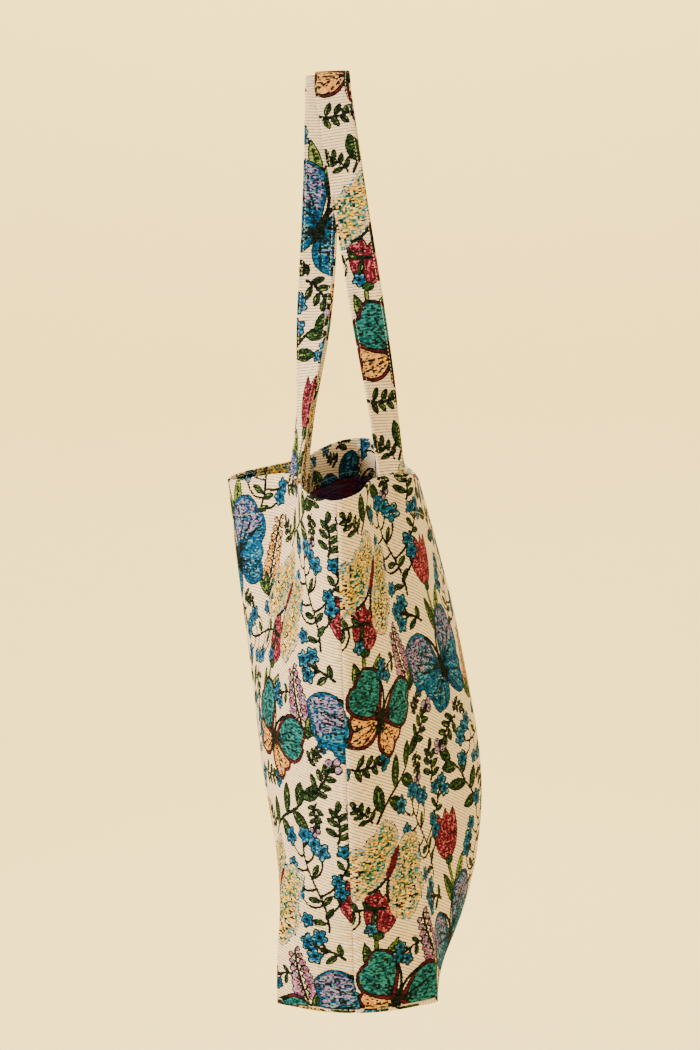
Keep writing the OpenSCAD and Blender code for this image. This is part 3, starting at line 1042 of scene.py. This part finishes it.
# The cloth: colours, thread sizes in mm, and shares of threads and of the wave across its lines
GROUND = (0.66, 0.535, 0.38)
GROUND_PALE = (0.75, 0.625, 0.47)
GROUND_LINE = (0.27, 0.17, 0.10)
LINE_SHARE = 0.68
LINE_FROM = 0.86
LINE_RAGGED = 0.35
GAP_SHADE = (0.05, 0.04, 0.03)
GAP_SHARE = 0.4
GAP_FROM = 0.88
GAP_RAGGED = 0.3
SPECK = (0.006, 0.009, 0.007)
SPECK_DEPTH = 1.1
SPECK_SHARE = 0.22
THREAD_W = 1.5
THREAD_H = 1.25
LONG_THREAD = 1.5
SPECK_THREAD = 1.3
LINE_SWAY = 1.2
RAGGED = 1.0
STEM_RAGGED = 0.5
OUTLINE_RAGGED = 0.5
LEAST_OUTLINE = 0.1
SHADES = (0.86, 1.12)
CLOTH_GLOSS = 0.02
CLOTH_BUMP = 0.5
CLOTH_BUMP_M = 0.0005
# Shifts that give each set of thread cells its own random numbers
LONG_CELLS = (0.4, 0.5, 31.0)
SPECK_CELLS = (0.7, 0.2, 57.0)


def ground_colour(g, random, wave):
    """A cream ground of mixed threads, with fine brown lines."""
    ground = g.mix(random[0], GROUND, GROUND_PALE)
    uneven = g.math("MULTIPLY_ADD", random[1], LINE_RAGGED, wave)
    thin = g.math("GREATER_THAN", uneven, LINE_FROM)
    return g.mix(g.math("MULTIPLY", thin, LINE_SHARE), ground, GROUND_LINE)


def outlines(g, deepest, roll):
    """1 along the edges of the motifs, by the line's width there."""
    width = g.math("MULTIPLY_ADD", roll, OUTLINE_RAGGED, g.attribute("line"))
    edge = g.math("ABSOLUTE", deepest)
    return g.math("LESS_THAN", edge, g.math("SUBTRACT", width, OUTLINE_RAGGED / 2))


def woven_motifs(g, colour, random):
    """The motifs' threads over a ground, and each point's depth inside the motifs."""
    deepest = None
    for n, (field, (dark, pale)) in enumerate(COLOURS.items()):
        depth = g.attribute(field)
        reach = STEM_RAGGED if field == "ink" else RAGGED
        uneven = g.math("SUBTRACT", random[n % len(random)], 0.5)
        shown = g.math("GREATER_THAN", g.math("MULTIPLY_ADD", uneven, reach, depth), 0.0)
        tone = g.mix(g.math("GREATER_THAN", random[(n + 2) % len(random)], 0.5), dark, pale)
        if field == "ink":
            shown = g.math("MAXIMUM", shown, outlines(g, deepest, random[3]))
        else:
            deepest = depth if deepest is None else g.math("MAXIMUM", deepest, depth)
        colour = g.mix(shown, colour, tone)
    return colour, deepest


def dark_specks(g, colour, place, deepest):
    """Single dark threads inside the motifs that have outlines."""
    cell = g.cells(g.vector("ADD", place, SPECK_CELLS), THREAD_W * SPECK_THREAD, THREAD_H)
    outlined = g.math("GREATER_THAN", g.attribute("line"), LEAST_OUTLINE)
    within = g.math("MULTIPLY", g.math("GREATER_THAN", deepest, SPECK_DEPTH), outlined)
    shown = g.math("MULTIPLY", within, g.math("LESS_THAN", cell[0], SPECK_SHARE))
    return g.mix(shown, colour, SPECK)


def matt_cloth(g, colour, roughness, height):
    """Gives a cloth its colour, roughness and relief, with almost no gloss."""
    g.link(colour, g.shader.inputs["Base Color"])
    g.link(roughness, g.shader.inputs["Roughness"])
    g.shader.inputs["Specular IOR Level"].default_value = CLOTH_GLOSS
    g.bump(height, CLOTH_BUMP, CLOTH_BUMP_M)
    return g.material


def tapestry(name, slope, pitch):
    """Jacquard cloth: a cream ground with fine brown lines, and coloured threads over it."""
    g = Graph(name)
    place = g.attribute("fabric", "Vector")
    short = g.cells(place, THREAD_W, THREAD_H)
    long = g.cells(g.vector("ADD", place, LONG_CELLS), THREAD_W * LONG_THREAD, THREAD_H)
    random = short + long
    wave = g.stripes(place, slope, pitch, LINE_SWAY)
    colour, deepest = woven_motifs(g, ground_colour(g, random, wave), random)
    colour = dark_specks(g, colour, place, deepest)
    uneven = g.math("MULTIPLY_ADD", random[4], GAP_RAGGED, wave)
    gap = g.math("GREATER_THAN", uneven, GAP_FROM)
    colour = g.mix(g.math("MULTIPLY", gap, GAP_SHARE), colour, GAP_SHADE, "MULTIPLY")
    drift = g.math("ADD", g.noise(place, 0.03, 3.0), g.math("MULTIPLY", random[2], 0.25))
    shade = g.between(drift, *SHADES)
    tint = g.node("ShaderNodeCombineColor", Red=shade, Green=shade, Blue=shade).outputs[0]
    colour = g.mix(1.0, colour, tint, "MULTIPLY")
    height = g.math("MULTIPLY_ADD", random[0], 0.5, g.math("SUBTRACT", 1.0, wave))
    return matt_cloth(g, colour, g.between(random[4], 0.72, 0.95), height)


# The cloth's reverse
PURPLE = (0.030, 0.015, 0.055)
PURPLE_PALE = (0.10, 0.045, 0.13)
WINE_STREAK = (0.13, 0.014, 0.040)
NAVY = (0.05, 0.09, 0.16)
REVERSE_LINE = (0.008, 0.006, 0.012)
FLOAT_W = 9.0
FLOAT_H = 1.2
WINE_FROM = 0.72
NAVY_FROM = 0.93


def reverse_cloth():
    """The cloth's other side: dark floating threads, purple and navy with streaks of wine."""
    g = Graph("tapestry_reverse")
    place = g.attribute("fabric", "Vector")
    random = g.cells(place, FLOAT_W, FLOAT_H)
    patches = g.noise(g.vector("MULTIPLY", place, (1.0, 0.6, 1.0)), 0.035, 3.0)
    wave = g.stripes(place, 0.1, 2.0, LINE_SWAY)
    colour = g.mix(random[0], PURPLE, PURPLE_PALE)
    patches = g.math("ADD", patches, g.math("MULTIPLY", random[1], 0.3))
    colour = g.mix(g.math("GREATER_THAN", patches, WINE_FROM), colour, WINE_STREAK)
    colour = g.mix(g.math("GREATER_THAN", random[2], NAVY_FROM), colour, NAVY)
    colour = g.mix(g.math("MULTIPLY", wave, 0.5), colour, REVERSE_LINE)
    height = g.math("SUBTRACT", 1.0, wave)
    return matt_cloth(g, colour, g.between(random[1], 0.75, 0.95), height)


def grained(name, scale, dark, pale, roughness):
    """A plain material whose colour and roughness drift with a noise, and that noise."""
    g = Graph(name)
    grain = g.noise(g.node("ShaderNodeTexCoord").outputs["Object"], scale)
    g.link(g.mix(grain, dark, pale), g.shader.inputs["Base Color"])
    g.link(g.between(grain, *roughness), g.shader.inputs["Roughness"])
    return g, grain


def thread_material():
    g, grain = grained("sewing_thread", 1800.0, (0.52, 0.41, 0.28), (0.70, 0.58, 0.43), (0.5, 0.75))
    g.bump(grain, 0.3, 0.0002)
    return g.material


def stage_material():
    g, _ = grained("plain_stage", 1.5, (0.94, 0.81, 0.43), (0.95, 0.83, 0.46), (0.85, 0.95))
    return g.material


# Sewing threads, in mm, but for the columns of the mesh that stay clear of a seam
STITCH_LONG = 2.3
STITCH_PITCH = 3.1
STITCH_R = 0.26
STITCH_SIDES = 5
STITCH_START = 0.4
STITCH_AHEAD = 0.3
HEM_STITCHES = (4.0, 32.0)
STRAP_END_STITCHES = 24.0
STRAP_END_ROW = 0.9 * STRAP_W
SEAM_CLEAR = 3
# A stitch's rings: the share of its length, and the thickness and depth in shares of its radius
STITCH_RINGS = (
    (0.0, 0.25, 1.1),
    (0.12, 0.8, 0.25),
    (0.5, 1.0, 0.25),
    (0.88, 0.8, 0.25),
    (1.0, 0.25, 1.1),
)


def along_path(length, values, at):
    """A path's point or vector at a length along it."""
    return np.array([np.interp(at, length, values[:, i]) for i in range(3)])


def stitch_row(b, path, outs):
    """Short stitches along a path, half sunk in the cloth."""
    length = run_length(path)
    around = np.linspace(0, 2 * np.pi, STITCH_SIDES, endpoint=False)
    for start in np.arange(STITCH_START, length[-1] - STITCH_LONG, STITCH_PITCH):
        rings = []
        for share, thick, sunk in STITCH_RINGS:
            at = start + share * STITCH_LONG
            middle = along_path(length, path, at)
            out = unit(along_path(length, outs, at))
            ahead = along_path(length, path, at + STITCH_AHEAD) - middle
            side = unit(np.cross(out, unit(ahead)))
            ring = np.outer(np.cos(around), side) + np.outer(np.sin(around), out)
            rings.append(middle - out * (sunk * STITCH_R) + STITCH_R * thick * ring)
        ids = b.add(np.array(rings), np.zeros((len(rings), STITCH_SIDES, 2)))
        b.tube(ids, 0)
        b.face(ids[0][::-1], 0)
        b.face(ids[-1], 0)


def strap_stitches(lines, outs):
    """Rows along both edges of a strap, on both its faces."""
    b = Builder()
    edge = STRAP_W / 2 - STITCH_IN
    for across in (np.array([-edge]), np.array([edge])):
        path = across_strap(lines, across)[:, 0]
        out = unit(across_strap(outs, across)[:, 0])
        for way in (1, -1):
            stitch_row(b, path + way * out * half_thickness(across), way * out)
    return b


def hem_stitches(wall):
    """Rows round the hem, at two levels in mm below the rim, and one across each strap's end."""
    b = Builder()
    inside = inward(wall)
    outer = dressed(wall, inside)
    hem_face = 2 * CLOTH_T
    all_round = slice(SEAM_CLEAR, LAST + 1 - SEAM_CLEAR)
    runs = [(below, all_round, hem_face) for below in HEM_STITCHES]
    half = STRAP_END_ROW / 2 / PANEL_W
    for end in (STRAP_U, 1 - STRAP_U):
        part = slice(*np.searchsorted(columns, (end - half, end + half)))
        runs.append((STRAP_END_STITCHES, part, hem_face + LAY_GAP + STRAP_T))
    for below, part, deep in runs:
        row = np.searchsorted(rows, 1 - below / BAG_H)
        turned = inside[row, part]
        stitch_row(b, outer[row, part], -turned)
        stitch_row(b, outer[row, part] + deep * turned, turned)
    return b


# The pieces. Weaves are the slope and the pitch in mm of the cloth's lines, shifts are how far the
# pattern's repeat is moved in mm, and flat sizes are in metres.
PANEL_WEAVES = ((0.16, 2.5), (0.5, 2.8))
STRAP_WEAVE = (0.03, 2.4)
PANEL_SHIFTS = ((12.0, 30.0), (96.0, 124.0))
STRAP_SHIFTS = ((20.0, 44.0), (100.0, 10.0))
strap_material = tapestry("strap_tapestry", *STRAP_WEAVE)
reverse_material = reverse_cloth()
thread = thread_material()
motifs = [*LAYOUT, *fill_gaps()]


def make_piece(name, k, builder, *materials):
    mesh = builder.mesh(name, mirrored=k == FRONT)
    for material in materials:
        mesh.materials.append(material)
    return place_object(name, mesh)


for side, (name, wall) in enumerate(zip(SIDE_NAMES, walls())):
    weave = tapestry(name + "_tapestry", *PANEL_WEAVES[side])
    builder = Panel(side, wall)
    panel = make_piece(name + "_panel_cloth", side, builder, weave, reverse_material)
    store(panel.data, builder, PANEL_SHIFTS[side], motifs)
    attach(panel, "root")
    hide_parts(name + "_panel")
    lines, outs = strap_line(side, wall)
    builder = strap_mesh(lines, outs)
    strap = make_piece(name + "_strap_cloth", side, builder, strap_material)
    store(strap.data, builder, STRAP_SHIFTS[side], motifs)
    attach(strap, "root")
    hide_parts(name + "_strap")
    seams = make_piece(name + "_strap_stitches", side, strap_stitches(lines, outs), thread)
    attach(seams, "root")
    hem = make_piece(name + "_hem_stitches", side, hem_stitches(wall), thread)
    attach(hem, "root")


# Stage, light and camera, in metres
FLOOR_Z = -1.35
FLOOR_RINGS = (1.0, 2.0)
STAGE_R = 3.4
STAGE_H = 4.2
STAGE_SIDES = 96
COVE_R = 0.8
COVE_STEPS = 12


def round_stage():
    """A floor that curves up into a round wall."""
    turn = np.linspace(0, np.pi / 2, COVE_STEPS + 1)
    cove = STAGE_R - COVE_R + COVE_R * np.sin(turn)
    radii = np.concatenate([FLOOR_RINGS, cove, [STAGE_R]])[:, None]
    levels = np.concatenate([np.zeros(len(FLOOR_RINGS)), COVE_R - COVE_R * np.cos(turn), [STAGE_H]])
    angles = np.linspace(0, 2 * np.pi, STAGE_SIDES, endpoint=False)
    x, y = radii * np.cos(angles), radii * np.sin(angles)
    z = np.broadcast_to(levels[:, None] + FLOOR_Z, x.shape)
    b = Builder()
    ids = b.add(np.stack([x, y, z], -1) / MM, np.zeros((*x.shape, 2)))
    b.tube(ids, 0, flip=True)
    b.face(ids[0], 0)
    stage = place_object("studio_stage", b.mesh("studio_stage"))
    stage.data.materials.append(stage_material())


BAG_MIDDLE = (0.0, 0.0, -0.45)
WALL_SPOT = (-3.4, 0.0, -0.2)
# Each light's name, place, target, size, power in watts and colour
LIGHTS = (
    ("key", (1.2, -2.0, 0.5), BAG_MIDDLE, 1.3, 125.0, (1.0, 0.96, 0.90)),
    ("fill", (1.5, 1.9, 0.0), BAG_MIDDLE, 1.8, 14.0, (0.78, 0.91, 1.0)),
    ("back_fill", (-1.8, 0.6, 0.9), BAG_MIDDLE, 1.8, 24.0, (1.0, 0.97, 0.93)),
    ("wall_wash", (-1.7, 0.0, 2.2), WALL_SPOT, 2.0, 160.0, (1.0, 0.84, 0.46)),
)
SKY_COLOUR = (1.0, 0.97, 0.90, 1.0)
SKY_STRENGTH = 1.15


def area_light(name, place, target, size, power, colour):
    light = bpy.data.lights.new(name, "AREA")
    light.shape = "DISK"
    light.size = size
    light.energy = power
    light.color = colour
    lamp = bpy.data.objects.new(name, light)
    lamp.location = place
    lamp.rotation_euler = (Vector(target) - Vector(place)).to_track_quat("-Z", "Y").to_euler()
    bpy.context.scene.collection.objects.link(lamp)


# The photograph's camera: degrees, pixels, metres, and the sensor in mm
CAMERA_AWAY = 1.635
CAMERA_TURN = 93.5
CAMERA_PITCH = 9.5
CAMERA_ROLL = 1.9
FOCAL_PX = 1948.0
IMAGE_W, IMAGE_H = 700, 1050
GRIP_PX = (335, 78)
SEAM_PLANE_Y = -0.001
SENSOR = 36.0


def add_camera():
    """The photograph's camera, placed so that the grip shows at its own pixel."""
    turn, pitch, roll = (math.radians(a) for a in (CAMERA_TURN, CAMERA_PITCH, CAMERA_ROLL))
    level = np.array([-math.sin(turn), math.cos(turn), 0])
    ahead = level * math.cos(pitch) - np.array([0, 0, math.sin(pitch)])
    right = np.array([math.cos(turn), math.sin(turn), 0])
    up = np.cross(right, ahead)
    image_x = math.cos(roll) * right - math.sin(roll) * up
    image_y = math.sin(roll) * right + math.cos(roll) * up
    dx = (GRIP_PX[0] - IMAGE_W / 2) / FOCAL_PX
    dy = (GRIP_PX[1] - IMAGE_H / 2) / FOCAL_PX
    ray = ahead + dx * image_x - dy * image_y
    place = -ray * CAMERA_AWAY / (ray @ level) + np.array([0, SEAM_PLANE_Y, 0])
    data = bpy.data.cameras.new("camera")
    data.sensor_width = SENSOR
    data.lens = FOCAL_PX / IMAGE_H * SENSOR
    camera = bpy.data.objects.new("camera", data)
    axes = np.stack([image_x, image_y, -ahead], 1)
    camera.matrix_world = Matrix.Translation(place) @ Matrix(axes.tolist()).to_4x4()
    bpy.context.scene.collection.objects.link(camera)
    bpy.context.scene.camera = camera


def studio_light():
    world = bpy.data.worlds.new("studio")
    world.use_nodes = True
    sky = world.node_tree.nodes["Background"]
    sky.inputs["Color"].default_value = SKY_COLOUR
    sky.inputs["Strength"].default_value = SKY_STRENGTH
    bpy.context.scene.world = world
    for light in LIGHTS:
        area_light(*light)


round_stage()
studio_light()
add_camera()
